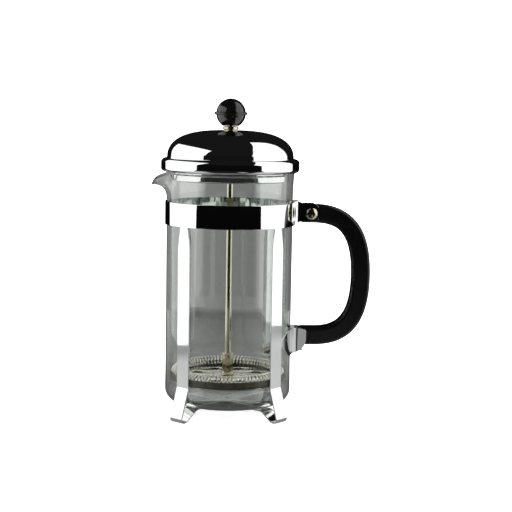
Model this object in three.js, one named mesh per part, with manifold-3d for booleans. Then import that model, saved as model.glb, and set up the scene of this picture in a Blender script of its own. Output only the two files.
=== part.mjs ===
// A four-legged French press: a glass beaker in a chromed strap frame, a domed lid that lifts off,
// and a plunger with a coil-edged filter that slides and turns in the lid.
// Millimetres, +Z up. The handle points along +X and the spout along -X.

import * as THREE from "three";
import { mergeVertices } from "three/addons/utils/BufferGeometryUtils.js";
import Module from "manifold-3d";

const wasm = await Module();
wasm.setup();

// ---- Driving dimensions -------------------------------------------------------------------

const GAP = 0.3; // left between pieces that touch in the real object
const ROUND_STEPS = 48; // sides of a large round piece
const SMALL_ROUND_STEPS = 24; // sides of a small round piece

// Beaker
const BEAKER_RADIUS = 49;
const BEAKER_FOOT_RADIUS = 49.2; // the wall swells a little above its bottom corner
const BEAKER_LIP_RADIUS = 50.4;
const BEAKER_TOP = 193.8;
const BEAKER_BOTTOM = 9.5;
const BEAKER_CORNER = 10;
const GLASS_THICKNESS = 2;
const LIP_CROWN = 0.2; // the lip's edge is this much higher in its middle
const SPOUT_START = 166.6; // the height at which the wall starts to lean out
const SPOUT_REACH = 11.2;
const SPOUT_DROP = 14.3;
const SPOUT_HALF_ANGLE = THREE.MathUtils.degToRad(27);
const DIP_HALF_ANGLE = THREE.MathUtils.degToRad(50); // the rim dips over a wider arc

// Chromed frame
const SHEET = 0.9; // thickness of the steel
const BAND_LOW = 148.4;
const BAND_HIGH = 166.3;
const STRAP_RADIUS = BEAKER_RADIUS + GAP + SHEET / 2; // middle of the band and of the legs
const STRAP_WIDTH = 12.4;
const STRAP_NECK_WIDTH = 7.6;
const UPPER_STRAP_Z = BEAKER_BOTTOM - GAP - SHEET / 2; // the straps' middles under the glass
const LOWER_STRAP_Z = UPPER_STRAP_Z - GAP - SHEET;
const RIVET_RADIUS = 2;

// Handle, and the sheet that grips it
const HANDLE_WIDTH = 14.5; // in the plane of its loop
const HANDLE_THICKNESS = 12;
const HANDLE_REACH = 110.8; // outermost point from the beaker's axis
const HANDLE_TOP_Z = 157.7; // middle of the upper arm
const HANDLE_BOTTOM_Z = 61.5; // middle of the lower arm
const TURN_OUT_RADIUS = 6.6; // of the bend that takes the sheet off the glass to run along the handle
const EAR_Y = HANDLE_THICKNESS / 2 + GAP + SHEET / 2; // middle of the sheet beside the handle
const EAR_FACE_Y = EAR_Y + SHEET / 2 + GAP; // where the screw's head and nut sit
const HANDLE_START_X = 54.8;
const SCREW_X = 63.4;
const SCREW_RADIUS = 2;

// Lid
const LID_RADIUS = 53.6;
const LID_LOW = 189.1;
const DOME_RADIUS = 49.2;
const DOME_START = 197.9;
const DOME_RISE = 23.4;
const DOME_TOP = DOME_START + DOME_RISE;
const CUP_LOW = 182.3;
const BUSHING_RADIUS = 3.4;
const BUSHING_LOW = 215.4;

// Plunger
const ROD_RADIUS = 2.5;
const ROD_CLEARANCE = 0.06; // where the rod runs in the lid's bushing
const ROD_LOW = 22.8;
const ROD_HIGH = 235.8;
const KNOB_RADIUS = 11.4;
const KNOB_CENTRE = 234.1;
const KNOB_BOTTOM = 224.5;
const STACK_HOLE = ROD_RADIUS + GAP; // centre hole of every plate on the rod
const FILTER_RADIUS = 45.2;
const FILTER_LOW = 25.7;
const PLATE_THICKNESS = 1;
const MESH_THICKNESS = 0.4;
const MESH_LOW = FILTER_LOW + PLATE_THICKNESS + GAP;
const MESH_WALL = 5.4; // height of the screen's turned-up edge
const COIL_RADIUS = 3.9;
const COIL_RING_RADIUS = FILTER_RADIUS - MESH_THICKNESS - GAP - COIL_RADIUS;
const COIL_CENTRE = 32.9;
const SPIRAL_LOW = 28.4;
const HUB_RADIUS = 4.6;
const HUB_HIGH = 46.7;
const NUT_HEIGHT = 3;

// The origin is the middle of the whole object's footprint, not the beaker's axis.
const SPOUT_TIP_X = -(BEAKER_LIP_RADIUS + SPOUT_REACH);
const AXIS_X = -(SPOUT_TIP_X + HANDLE_REACH) / 2;

// ---- Materials ----------------------------------------------------------------------------

function material(color, roughness, metalness, opacity = 1) {
  return new THREE.MeshStandardMaterial({
    color,
    roughness,
    metalness,
    opacity,
    transparent: opacity < 1,
  });
}

const chrome = () => material(0xd8dadc, 0.08, 1);
const warmNickel = () => material(0xc9b98e, 0.25, 1);
const filterSteel = () => material(0xa9a79c, 0.35, 1);
const glass = () => material(0xdfe6e4, 0.03, 0, 0.35);
const glossBlack = () => material(0x0b0b0c, 0.15, 0);
const satinBlack = () => material(0x101011, 0.42, 0);

// ---- Outline helpers ----------------------------------------------------------------------

const at = (x, y) => new THREE.Vector2(x, y);

// The points of an arc that rounds one corner, coming from `before` and going on to `after`.
function bend(before, corner, after, radius, steps = 3) {
  const back = before.clone().sub(corner).normalize();
  const ahead = after.clone().sub(corner).normalize();
  const halfAngle = Math.acos(back.dot(ahead)) / 2;
  const middle = back.clone().add(ahead).normalize();
  const centre = corner.clone().addScaledVector(middle, radius / Math.sin(halfAngle));
  const run = radius / Math.tan(halfAngle);
  const first = corner.clone().addScaledVector(back, run).sub(centre);
  const last = corner.clone().addScaledVector(ahead, run).sub(centre);
  const turn = Math.atan2(first.cross(last), first.dot(last));
  return Array.from({ length: steps + 1 }, (_, i) =>
    first.clone().rotateAround(at(0, 0), (turn * i) / steps).add(centre),
  );
}

// An open line through corners [x, y, radius]; a corner with no radius stays sharp.
function roundedLine(corners, steps = 3) {
  const spots = corners.map(([x, y]) => at(x, y));
  return spots.flatMap((spot, i) => {
    const radius = corners[i][2];
    return radius ? bend(spots[i - 1], spot, spots[i + 1], radius, steps) : [spot];
  });
}

function arc(radius, fromAngle, toAngle, steps, centre = at(0, 0)) {
  return Array.from({ length: steps + 1 }, (_, i) => {
    const angle = fromAngle + ((toAngle - fromAngle) * i) / steps;
    return at(centre.x + radius * Math.cos(angle), centre.y + radius * Math.sin(angle));
  });
}

// Every point of a line moved to its left by the same distance.
function offsetLine(line, distance) {
  return line.map((spot, i) => {
    const before = line[Math.max(i - 1, 0)];
    const after = line[Math.min(i + 1, line.length - 1)];
    const arriving = (i > 0 ? spot.clone().sub(before) : after.clone().sub(spot)).normalize();
    const leaving = (i < line.length - 1 ? after.clone().sub(spot) : arriving.clone()).normalize();
    const along = arriving.clone().add(leaving).normalize();
    const stretch = 1 / along.dot(arriving);
    return at(spot.x - along.y * distance * stretch, spot.y + along.x * distance * stretch);
  });
}

// A closed outline of even thickness, on both sides of a line.
function ribbon(line, thickness) {
  return [...offsetLine(line, thickness / 2), ...offsetLine(line, -thickness / 2).reverse()];
}

// ---- Solid helpers ------------------------------------------------------------------------

function extrudeUp(outline, low, high, holes = []) {
  const shape = new THREE.Shape(outline);
  shape.holes = holes.map((hole) => new THREE.Path(hole));
  const geometry = new THREE.ExtrudeGeometry(shape, { depth: high - low, bevelEnabled: false });
  return geometry.translate(0, 0, low);
}

// An outline drawn in X and Z, given a width that is centred on Y.
function extrudeAcross(outline, width) {
  return extrudeUp(outline, -width / 2, width / 2).rotateX(Math.PI / 2);
}

// A profile of radius and height turned about the Z axis. It may be drawn either way round.
function turned(profile, steps = ROUND_STEPS) {
  const points = THREE.ShapeUtils.area(profile) < 0 ? [...profile].reverse() : profile;
  return new THREE.LatheGeometry(points, steps).rotateX(Math.PI / 2);
}

// A profile that stays clear of the axis, closed on itself to make a ring.
function turnedRing(profile, steps = ROUND_STEPS) {
  return turned([...profile, profile[0].clone()], steps);
}

// A solid cylinder on the Z axis.
function rod(radius, low, high, steps = SMALL_ROUND_STEPS) {
  return turned([at(0, low), at(radius, low), at(radius, high), at(0, high)], steps);
}

function hexNut(acrossCorners, holeRadius, low) {
  const hexagon = circle(acrossCorners / 2, 6);
  return extrudeUp(hexagon, low, low + NUT_HEIGHT, [circle(holeRadius, 16)]);
}

// Turns a piece built along +Z to lie along +Y.
function alongY(geometry) {
  return geometry.rotateX(-Math.PI / 2);
}

function circle(radius, steps, centre = at(0, 0)) {
  return arc(radius, 0, (2 * Math.PI * (steps - 1)) / steps, steps - 1, centre);
}

// Small round holes on one ring of a plate.
function holeRing(count, ringRadius, holeRadius, steps = 8) {
  return Array.from({ length: count }, (_, i) => {
    const angle = (2 * Math.PI * (i + 0.5)) / count;
    const centre = at(ringRadius * Math.cos(angle), ringRadius * Math.sin(angle));
    return circle(holeRadius, steps, centre);
  });
}

function solidFrom(geometry) {
  const plain = geometry.clone();
  plain.deleteAttribute("normal");
  plain.deleteAttribute("uv");
  const welded = mergeVertices(plain, 1e-4);
  return new wasm.Manifold(
    new wasm.Mesh({
      numProp: 3,
      vertProperties: new Float32Array(welded.attributes.position.array),
      triVerts: new Uint32Array(welded.index.array),
    }),
  );
}

function geometryFrom(solid) {
  const { vertProperties, triVerts } = solid.getMesh();
  const geometry = new THREE.BufferGeometry();
  geometry.setAttribute("position", new THREE.BufferAttribute(vertProperties, 3));
  geometry.setIndex(new THREE.BufferAttribute(triVerts, 1));
  return geometry;
}

// ---- Beaker -------------------------------------------------------------------------------

function beaker() {
  const swellTop = 42;
  const lipStart = 171.4; // the wall leans out a little from here up
  const lipSteps = 5;
  const cornerCentre = at(BEAKER_FOOT_RADIUS - BEAKER_CORNER, BEAKER_BOTTOM + BEAKER_CORNER);
  const lip = Array.from({ length: lipSteps }, (_, i) => {
    const lean = (BEAKER_LIP_RADIUS - BEAKER_RADIUS) * (i / (lipSteps - 1)) ** 1.7;
    const height = lipStart + ((BEAKER_TOP - lipStart) * (i + 1)) / lipSteps;
    return at(BEAKER_RADIUS + lean, height);
  });
  const outer = [
    at(0, BEAKER_BOTTOM),
    ...arc(BEAKER_CORNER, -Math.PI / 2, 0, 4, cornerCentre),
    at(BEAKER_RADIUS, swellTop),
    at(BEAKER_RADIUS, SPOUT_START),
    ...lip,
  ];
  const inner = offsetLine(outer, GLASS_THICKNESS).reverse();
  inner[0].y = BEAKER_TOP;
  const crown = at((outer.at(-1).x + inner[0].x) / 2, BEAKER_TOP + LIP_CROWN);
  return pullOutSpout(turned([...outer, crown, ...inner], 60));
}

// Falls from 1 in the middle of an arc to 0 at its ends.
function bellShare(angle, halfAngle) {
  return angle < halfAngle ? Math.cos((Math.PI / 2) * (angle / halfAngle)) ** 2 : 0;
}

// Leans the top of the wall out and down on the -X side, most of all at the rim. The lip is full
// and has a blunt nose.
function pullOutSpout(geometry) {
  const positions = geometry.attributes.position;
  const spot = new THREE.Vector3();
  for (let i = 0; i < positions.count; i += 1) {
    spot.fromBufferAttribute(positions, i);
    const radius = Math.hypot(spot.x, spot.y);
    const angle = Math.abs(Math.atan2(spot.y, -spot.x));
    const height = (spot.z - SPOUT_START) / (BEAKER_TOP - SPOUT_START);
    if (radius > 1 && height > 0) {
      const across = bellShare(angle, SPOUT_HALF_ANGLE);
      const dip = bellShare(angle, DIP_HALF_ANGLE);
      const grown = (radius + SPOUT_REACH * across * height ** 2) / radius;
      const drop = SPOUT_DROP * (0.66 * dip + 0.34 * across ** 6) * height ** 2;
      positions.setXYZ(i, spot.x * grown, spot.y * grown, spot.z - drop);
    }
  }
  return geometry;
}

// ---- Chromed frame ------------------------------------------------------------------------

// The sheet's path, seen from above on the -Y side: round the glass from an angle, then turned
// outward in a bend to run beside the handle.
function clampPath(startAngle, endX, steps) {
  const bendY = -(EAR_Y + TURN_OUT_RADIUS);
  const bendX = Math.sqrt((STRAP_RADIUS + TURN_OUT_RADIUS) ** 2 - bendY ** 2);
  const leaveAngle = Math.atan2(bendY, bendX);
  const wrap = arc(STRAP_RADIUS, -startAngle, leaveAngle, steps);
  const turnOut = arc(TURN_OUT_RADIUS, leaveAngle + Math.PI, Math.PI / 2, 4, at(bendX, bendY));
  return [...wrap, ...turnOut.slice(1), at(endX, -EAR_Y)];
}

const mirrored = (line) => line.map((spot) => at(spot.x, -spot.y)).reverse();

function screwHole() {
  const halfLength = 20; // well past both ears
  const shaft = rod(SCREW_RADIUS + GAP, -halfLength, halfLength);
  return solidFrom(alongY(shaft).translate(SCREW_X, 0, HANDLE_TOP_Z));
}

// Full height round the glass, a little higher at the bend, and drawn in to two round-ended ears
// beside the handle.
function frameBand() {
  const earEnd = 68.9;
  const earLow = HANDLE_TOP_Z - 6.3;
  const earHigh = HANDLE_TOP_Z + 7.7;
  const earCorner = 4;
  const bendHigh = BAND_HIGH + 1.1;
  const beyond = 80; // past the far side of the glass
  const front = clampPath(Math.PI, earEnd, 16);
  const loop = [...mirrored(front), ...front.slice(1)];
  const sheet = solidFrom(extrudeUp(ribbon(loop, SHEET), BAND_LOW, bendHigh));
  const sideView = roundedLine([
    [-beyond, BAND_LOW],
    [48.5, BAND_LOW, 2],
    [54.5, earLow, 4],
    [earEnd, earLow, earCorner],
    [earEnd, earHigh, earCorner],
    [56.5, earHigh, 3],
    [53.5, bendHigh, 2],
    [50, bendHigh, 2],
    [47, BAND_HIGH, 2],
    [-beyond, BAND_HIGH],
  ]);
  const trim = solidFrom(extrudeAcross(sideView, 2 * beyond));
  return geometryFrom(sheet.intersect(trim).subtract(screwHole()));
}

// One strap makes two opposite legs: down the glass, out to a folded foot, and back in and up
// to cross under the glass at the height `under`.
function legStrap(under, angle) {
  const flareStart = 26;
  const toeRadius = 57.6;
  const heelRadius = 51.6;
  const heelSlope = 1.45; // inward run for each millimetre of rise
  const footZ = SHEET / 2;
  const half = roundedLine([
    [STRAP_RADIUS, BAND_LOW - GAP],
    [STRAP_RADIUS, flareStart, 8],
    [toeRadius, footZ, 2.6],
    [heelRadius, footZ, 4],
    [heelRadius - (under - footZ) * heelSlope, under, 6],
    [0, under],
  ]).slice(0, -1);
  const otherHalf = half.map((spot) => at(-spot.x, spot.y)).reverse();
  const strap = solidFrom(extrudeAcross(ribbon([...half, ...otherHalf], SHEET), STRAP_WIDTH));
  const trim = solidFrom(extrudeAcross(strapFrontView(), 4 * toeRadius).rotateZ(Math.PI / 2));
  const rivetHole = solidFrom(rod(RIVET_RADIUS + GAP, 0, 2 * BEAKER_BOTTOM));
  return geometryFrom(strap.intersect(trim).subtract(rivetHole)).rotateZ(angle);
}

// The strap seen square on: full width, drawn in to a neck just under the band.
function strapFrontView() {
  const shoulderZ = 130.4;
  const steps = 4;
  const beyond = 1; // outside the strap, where nothing is trimmed
  const right = [at(STRAP_WIDTH / 2 + beyond, -beyond), at(STRAP_WIDTH / 2 + beyond, shoulderZ)];
  for (let i = 0; i <= steps; i += 1) {
    const rise = i / steps;
    const narrowing = (STRAP_WIDTH - STRAP_NECK_WIDTH) * rise ** 1.6;
    right.push(at((STRAP_WIDTH - narrowing) / 2, shoulderZ + (BAND_LOW - shoulderZ) * rise));
  }
  return [...right, ...right.map((spot) => at(-spot.x, spot.y)).reverse()];
}

// Holds the two straps together where they cross under the glass.
function crossRivet() {
  const headRadius = 3.8;
  const headTop = LOWER_STRAP_Z - SHEET / 2 - GAP;
  const headLow = headTop - 1.5;
  const shankTop = UPPER_STRAP_Z + SHEET / 2;
  const profile = roundedLine([
    [0, headLow],
    [headRadius, headLow, 1.3],
    [headRadius, headTop],
    [RIVET_RADIUS, headTop],
    [RIVET_RADIUS, shankTop],
    [0, shankTop],
  ]);
  return turned(profile, 16);
}

// Two wings that leave the handle-side legs, fold beside the handle's lower end and are
// joined by a floor under it.
function lowerBracket() {
  const legEdge = Math.PI / 4 - (STRAP_WIDTH / 2 + GAP) / STRAP_RADIUS;
  const wingStart = 38;
  const neckLow = 56.8;
  const neckHigh = 63;
  const low = 50;
  const high = 68;
  const cheekEnd = 60.9;
  const front = clampPath(legEdge, cheekEnd, 2);
  const wings = [front, mirrored(front)].map((path) =>
    solidFrom(extrudeUp(ribbon(path, SHEET), low - 1, high + 1)),
  );
  const floorPlan = [at(54.8, -EAR_Y), at(58.2, -EAR_Y), at(58.2, EAR_Y), at(54.8, EAR_Y)];
  const floor = solidFrom(extrudeUp(floorPlan, low, low + SHEET));
  const sideView = roundedLine([
    [wingStart, neckLow],
    [wingStart + 3, neckLow, 4],
    [47.5, low, 5],
    [cheekEnd, low, 6.5],
    [cheekEnd, high - 1, 1.5],
    [54, high, 4],
    [46.5, high, 5],
    [wingStart + 2.5, neckHigh, 3],
    [wingStart, neckHigh],
  ]);
  const trim = solidFrom(extrudeAcross(sideView, 4 * BEAKER_RADIUS));
  return geometryFrom(wings[0].add(wings[1]).intersect(trim).add(floor));
}

// ---- Handle and its screw -----------------------------------------------------------------

// The middle line of the handle's loop, from its upper end round to its lower end.
function handlePath() {
  const upperBend = at(66, HANDLE_TOP_Z); // where each straight arm starts to curve
  const lowerBend = at(68, HANDLE_BOTTOM_Z);
  const outermost = at(HANDLE_REACH - HANDLE_WIDTH / 2, 109.4);
  const bulge = 0.69; // how square the two curves are; 0.55 would be an ellipse
  const inSpace = (spot) => new THREE.Vector3(spot.x, 0, spot.y);
  const curve = (from) =>
    [
      from,
      at(THREE.MathUtils.lerp(from.x, outermost.x, bulge), from.y),
      at(outermost.x, THREE.MathUtils.lerp(outermost.y, from.y, bulge)),
      outermost,
    ].map(inSpace);
  const path = new THREE.CurvePath();
  path.add(new THREE.LineCurve3(inSpace(at(HANDLE_START_X, HANDLE_TOP_Z)), inSpace(upperBend)));
  path.add(new THREE.CubicBezierCurve3(...curve(upperBend)));
  path.add(new THREE.CubicBezierCurve3(...curve(lowerBend).reverse()));
  path.add(new THREE.LineCurve3(inSpace(lowerBend), inSpace(at(HANDLE_START_X, HANDLE_BOTTOM_Z))));
  return path;
}

// A rounded bar bent along the handle's path.
function handle() {
  const edge = 3.2; // rounding of the long edges
  const sideways = HANDLE_WIDTH / 2 - edge;
  const upward = HANDLE_THICKNESS / 2 - edge;
  const centres = [
    at(sideways, upward),
    at(-sideways, upward),
    at(-sideways, -upward),
    at(sideways, -upward),
  ];
  const section = centres.flatMap((centre, quarter) => {
    const start = (quarter * Math.PI) / 2;
    return arc(edge, start, start + Math.PI / 2, 2, centre);
  });
  const swept = new THREE.ExtrudeGeometry(new THREE.Shape(section), {
    extrudePath: handlePath(),
    steps: 30,
  });
  return geometryFrom(solidFrom(swept).subtract(screwHole()));
}

// Lies along Y: a domed head on the -Y ear and a shank through both ears and the handle.
function clampScrew() {
  const headRadius = 4;
  const headHeight = 2.6;
  const domeSteps = 5;
  const shankEnd = EAR_FACE_Y + NUT_HEIGHT - 0.4;
  const dome = arc(1, 0, Math.PI / 2, domeSteps).map((spot) =>
    at(spot.x * headRadius, -EAR_FACE_Y - spot.y * headHeight),
  );
  dome.at(-1).x = 0;
  const profile = [
    ...dome.reverse(),
    at(SCREW_RADIUS, -EAR_FACE_Y),
    at(SCREW_RADIUS, shankEnd),
    at(0, shankEnd),
  ];
  return alongY(turned(profile, SMALL_ROUND_STEPS)).translate(SCREW_X, 0, HANDLE_TOP_Z);
}

function clampNut() {
  const nut = hexNut(9, SCREW_RADIUS + GAP, EAR_FACE_Y);
  return alongY(nut).translate(SCREW_X, 0, HANDLE_TOP_Z);
}

// ---- Lid ----------------------------------------------------------------------------------

// A round rolled rim, a groove, then a dome that is rounder than an ellipse, down to the hole
// for the bushing.
function lidDome() {
  const rimLip = 2.4; // how far the rim turns in underneath
  const startAngle = 0.14; // the dome's first point, just above the rim
  const steps = 6;
  const acrossPower = 2 / 2.8;
  const upPower = 2 / 2.6;
  const rimHigh = DOME_START + 1.7;
  const rim = roundedLine(
    [
      [LID_RADIUS - rimLip, LID_LOW],
      [LID_RADIUS, LID_LOW + rimLip, 3.5],
      [LID_RADIUS, rimHigh, 3.4],
      [DOME_RADIUS + 0.9, rimHigh, 0.5],
      [DOME_RADIUS + 0.4, DOME_START],
      [DOME_RADIUS, DOME_START + 1.5],
    ],
    2,
  );
  const dome = arc(1, startAngle, Math.PI / 2, steps).map((spot) =>
    at(DOME_RADIUS * spot.x ** acrossPower, DOME_START + DOME_RISE * spot.y ** upPower),
  );
  dome.at(-1).x = BUSHING_RADIUS + GAP;
  const inside = [
    at(LID_RADIUS - rimLip, LID_LOW + SHEET),
    at(LID_RADIUS - SHEET, LID_LOW + rimLip + 0.6),
    at(LID_RADIUS - SHEET, rimHigh - 3.4),
    at(LID_RADIUS - SHEET - 1.1, rimHigh - SHEET - 1.1),
    at(DOME_RADIUS + 1.1, DOME_START - 1.1),
    at(DOME_RADIUS - SHEET, DOME_START),
  ];
  const insideDome = offsetLine([at(DOME_RADIUS, DOME_START + 1.5), ...dome], SHEET).slice(1);
  return turnedRing([...rim, ...dome, ...[...inside, ...insideDome].reverse()]);
}

// A pan under the dome that drops into the beaker's mouth. Its flange rests on the glass.
function lidInnerCup() {
  const thickness = 0.7;
  const flangeLow = BEAKER_TOP + LIP_CROWN + GAP;
  const flangeRadius = BEAKER_LIP_RADIUS + thickness;
  const wallRadius = 45.2;
  const beadRadius = 46.2;
  const beadHeight = 5.4;
  const under = roundedLine(
    [
      [flangeRadius, flangeLow],
      [wallRadius, flangeLow],
      [wallRadius, CUP_LOW + beadHeight],
      [beadRadius, CUP_LOW + beadHeight - 1],
      [beadRadius, CUP_LOW, 2.2],
      [STACK_HOLE, CUP_LOW],
    ],
    2,
  );
  return turnedRing([...under, ...offsetLine(under, -thickness).reverse()]);
}

// The collar on top of the dome that guides the rod, with its sleeve through the dome.
function lidBushing() {
  const bore = ROD_RADIUS + ROD_CLEARANCE;
  const collarRadius = 6.05;
  const seat = DOME_TOP + GAP;
  const top = KNOB_BOTTOM - GAP;
  const profile = roundedLine([
    [bore, BUSHING_LOW],
    [BUSHING_RADIUS, BUSHING_LOW],
    [BUSHING_RADIUS, seat],
    [collarRadius, seat, 1.2],
    [collarRadius, top, 1.2],
    [bore, top],
  ]);
  return turnedRing(profile, SMALL_ROUND_STEPS);
}

function lidBushingNut() {
  return hexNut(12, BUSHING_RADIUS + GAP, DOME_TOP - SHEET - GAP - NUT_HEIGHT);
}

// ---- Plunger ------------------------------------------------------------------------------

// A ball with a raised line round its middle, bored for the rod.
function knob() {
  const ridgeRadius = KNOB_RADIUS + 1.3;
  const ridgeHalf = 1.1;
  const ridgeCorner = 0.8;
  const ridgeAngle = Math.asin(ridgeHalf / KNOB_RADIUS);
  const bottomAngle = -Math.asin((KNOB_CENTRE - KNOB_BOTTOM) / KNOB_RADIUS);
  const centre = at(0, KNOB_CENTRE);
  const lower = arc(KNOB_RADIUS, bottomAngle, -ridgeAngle, 5, centre);
  const upper = arc(KNOB_RADIUS, ridgeAngle, Math.PI / 2, 6, centre);
  upper.at(-1).x = 0;
  const ridge = roundedLine(
    [
      [KNOB_RADIUS, KNOB_CENTRE - ridgeHalf],
      [ridgeRadius, KNOB_CENTRE - ridgeHalf, ridgeCorner],
      [ridgeRadius, KNOB_CENTRE + ridgeHalf, ridgeCorner],
      [KNOB_RADIUS, KNOB_CENTRE + ridgeHalf],
    ],
    2,
  ).slice(1, -1);
  const socketTop = ROD_HIGH + GAP;
  const socket = [at(0, socketTop), at(STACK_HOLE, socketTop), at(STACK_HOLE, KNOB_BOTTOM)];
  return turned([...socket, ...lower, ...ridge, ...upper], 32);
}

// A perforated plate that backs the mesh from below.
function crossPlate() {
  const outline = circle(FILTER_RADIUS - 1.2, ROUND_STEPS);
  const holes = [circle(STACK_HOLE, 16), ...holeRing(6, 15, 4.5, 8), ...holeRing(6, 32, 7, 10)];
  return extrudeUp(outline, FILTER_LOW, FILTER_LOW + PLATE_THICKNESS, holes);
}

// The woven screen, as a thin dish whose wall stands up round the coil.
function meshScreen() {
  const outer = roundedLine(
    [
      [STACK_HOLE, MESH_LOW],
      [FILTER_RADIUS, MESH_LOW, 0.8],
      [FILTER_RADIUS, MESH_LOW + MESH_WALL],
    ],
    2,
  );
  return turnedRing([...outer, ...offsetLine(outer, MESH_THICKNESS).reverse()]);
}

// The coil that presses the mesh to the glass, as a plain ring of the coil's thickness.
function coilSpring() {
  return turnedRing(circle(COIL_RADIUS, 8, at(COIL_RING_RADIUS, COIL_CENTRE)));
}

// The perforated top plate, inside the coil.
function spiralPlate() {
  const outline = circle(COIL_RING_RADIUS - COIL_RADIUS + 1, ROUND_STEPS);
  const holes = [circle(STACK_HOLE, 16), ...holeRing(8, 14, 2, 6), ...holeRing(14, 25, 2, 6)];
  return extrudeUp(outline, SPIRAL_LOW, SPIRAL_LOW + PLATE_THICKNESS, holes);
}

// A sleeve on the rod, collared at both ends, that spreads the push over the plates.
function filterHub() {
  const low = SPIRAL_LOW + PLATE_THICKNESS + GAP;
  const collarHeight = 1.2;
  const collarRadius = HUB_RADIUS + 0.4;
  const profile = [
    at(STACK_HOLE, low),
    at(collarRadius, low),
    at(collarRadius, low + collarHeight),
    at(HUB_RADIUS, low + collarHeight),
    at(HUB_RADIUS, HUB_HIGH - collarHeight),
    at(collarRadius, HUB_HIGH - collarHeight),
    at(collarRadius, HUB_HIGH),
    at(STACK_HOLE, HUB_HIGH),
  ];
  return turnedRing(profile, SMALL_ROUND_STEPS);
}

function filterNut() {
  return hexNut(11, STACK_HOLE, FILTER_LOW - GAP - NUT_HEIGHT);
}

// ---- Assembly -----------------------------------------------------------------------------

const press = new THREE.Group();

function add(name, geometry, look) {
  const mesh = new THREE.Mesh(geometry.translate(AXIS_X, 0, 0), look());
  mesh.name = name;
  press.add(mesh);
}

add("beaker", beaker(), glass);
add("frame_band", frameBand(), chrome);
add("leg_strap_upper", legStrap(UPPER_STRAP_Z, Math.PI / 4), chrome);
add("leg_strap_lower", legStrap(LOWER_STRAP_Z, -Math.PI / 4), chrome);
add("cross_rivet", crossRivet(), chrome);
add("lower_bracket", lowerBracket(), chrome);
add("handle", handle(), satinBlack);
add("clamp_screw", clampScrew(), warmNickel);
add("clamp_nut", clampNut(), warmNickel);
add("lid_dome", lidDome(), chrome);
add("lid_inner_cup", lidInnerCup(), chrome);
add("lid_bushing", lidBushing(), warmNickel);
add("lid_bushing_nut", lidBushingNut(), warmNickel);
add("rod", rod(ROD_RADIUS, ROD_LOW, ROD_HIGH), warmNickel);
add("knob", knob(), glossBlack);
add("filter_hub", filterHub(), warmNickel);
add("spiral_plate", spiralPlate(), filterSteel);
add("coil_spring", coilSpring(), filterSteel);
add("mesh_screen", meshScreen(), filterSteel);
add("cross_plate", crossPlate(), filterSteel);
add("filter_nut", filterNut(), warmNickel);

export default press;
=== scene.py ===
# The looks of a French press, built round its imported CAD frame.
# Shapes are worked out in millimetres from the beaker's axis and the floor, and stored in metres.

import math

import bmesh
import bpy
from mathutils import Matrix, Vector

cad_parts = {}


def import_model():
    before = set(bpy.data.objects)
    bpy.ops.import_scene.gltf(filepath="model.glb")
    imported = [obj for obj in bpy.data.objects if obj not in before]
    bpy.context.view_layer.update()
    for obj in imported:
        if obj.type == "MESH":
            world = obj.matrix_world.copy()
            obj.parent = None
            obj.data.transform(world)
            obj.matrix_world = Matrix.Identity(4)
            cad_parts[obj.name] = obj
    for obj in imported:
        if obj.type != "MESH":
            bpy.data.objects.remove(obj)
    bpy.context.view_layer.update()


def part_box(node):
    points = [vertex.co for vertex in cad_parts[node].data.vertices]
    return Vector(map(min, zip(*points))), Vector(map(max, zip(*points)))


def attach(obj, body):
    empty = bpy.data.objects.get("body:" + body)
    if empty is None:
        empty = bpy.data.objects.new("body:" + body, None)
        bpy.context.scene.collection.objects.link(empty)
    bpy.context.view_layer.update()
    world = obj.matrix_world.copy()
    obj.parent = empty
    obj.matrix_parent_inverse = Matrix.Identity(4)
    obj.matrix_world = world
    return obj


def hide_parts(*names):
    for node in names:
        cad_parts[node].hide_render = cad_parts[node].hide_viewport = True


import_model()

MM = 0.001
TURN = 2 * math.pi
X, Y, Z = 0, 1, 2  # places in a corner of a box
UP = Vector((0, 0, 1))

# ---- Where the CAD pieces are ----

rod_low_corner, rod_high_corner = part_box("rod")
AXIS_X = (rod_low_corner.x + rod_high_corner.x) / 2


def low(node, direction=Z):
    """The lowest coordinate of a CAD node, in millimetres from the beaker's axis and the floor."""
    shift = AXIS_X if direction == X else 0
    return (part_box(node)[0][direction] - shift) / MM


def high(node, direction=Z):
    """The highest coordinate of a CAD node, measured the same way."""
    shift = AXIS_X if direction == X else 0
    return (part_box(node)[1][direction] - shift) / MM


def ends(node, direction=Z):
    return low(node, direction), high(node, direction)


# ---- Driving dimensions, in millimetres ----

SHEET = 0.9  # thickness of the chromed steel
SHEET_EDGE = 0.22  # rounding of its cut edges
BEAKER_RADIUS = 49.0
GLASS_THICKNESS = 2.0
STRAP_RADIUS = BEAKER_RADIUS + 0.3 + SHEET / 2  # middle of the band and the legs
STRAP_WIDTH = 12.4
STRAP_NECK = 7.6
BAND_LOW = low("frame_band")
BAND_TOP = high("frame_band")  # at the bend beside the handle
BAND_HIGH = BAND_TOP - 1.1
EAR_END = high("frame_band", X)
EAR_Y = high("handle", Y) + 0.3 + SHEET / 2  # middle of the sheet beside the handle
TURN_OUT_RADIUS = 6.6  # of the bend that takes the sheet off the glass
SCREW_X = sum(ends("clamp_screw", X)) / 2
SCREW_Z = sum(ends("clamp_screw")) / 2
HANDLE_WIDTH = 14.5
HANDLE_THICKNESS = high("handle", Y) - low("handle", Y)
HANDLE_TOP_Z = high("handle") - HANDLE_WIDTH / 2
HANDLE_BOTTOM_Z = low("handle") + HANDLE_WIDTH / 2
HANDLE_START_X = low("handle", X)
HANDLE_REACH = high("handle", X)
LID_RADIUS = high("lid_dome", Y)
LID_LOW = low("lid_dome")
DOME_RISE = 23.4
DOME_START = high("lid_dome") - DOME_RISE
ROD_RADIUS = high("rod", Y)
BORE = ROD_RADIUS + 0.3  # hole of every piece that is clamped on the rod
FILTER_RADIUS = high("mesh_screen", Y)

# ---- Outlines in two dimensions ----


def flat(x, y):
    return Vector((x, y))


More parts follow.
